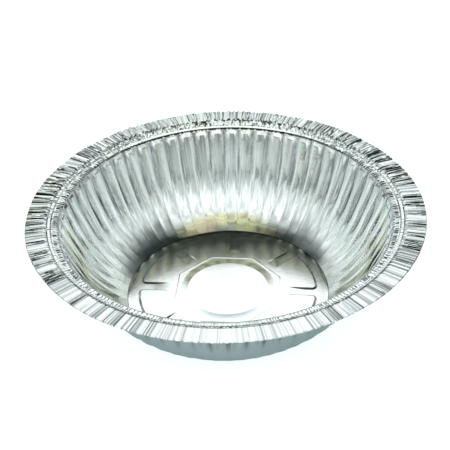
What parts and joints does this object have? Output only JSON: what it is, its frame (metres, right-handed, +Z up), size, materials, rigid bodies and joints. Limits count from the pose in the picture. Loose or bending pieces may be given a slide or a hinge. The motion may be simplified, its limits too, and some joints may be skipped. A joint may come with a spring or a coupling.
{
  "type": "foil food container",
  "caption": "Round, deep food container of pressed aluminium foil, with a fluted bowl wall, an embossed base, a lid seat and a flat pleated flange.",
  "frame": {"origin": "centre of the plane that the base stands on", "axes": "+Z up along the container's own axis; +X along one of the base's eight ribs"},
  "size_m": [0.23, 0.23, 0.0612],
  "materials": {
    "foil": "bright rolled aluminium foil, pressed and finely wrinkled"
  },
  "bodies": {
    "root": {"foil_container": "foil"}
  },
  "joints": []
}
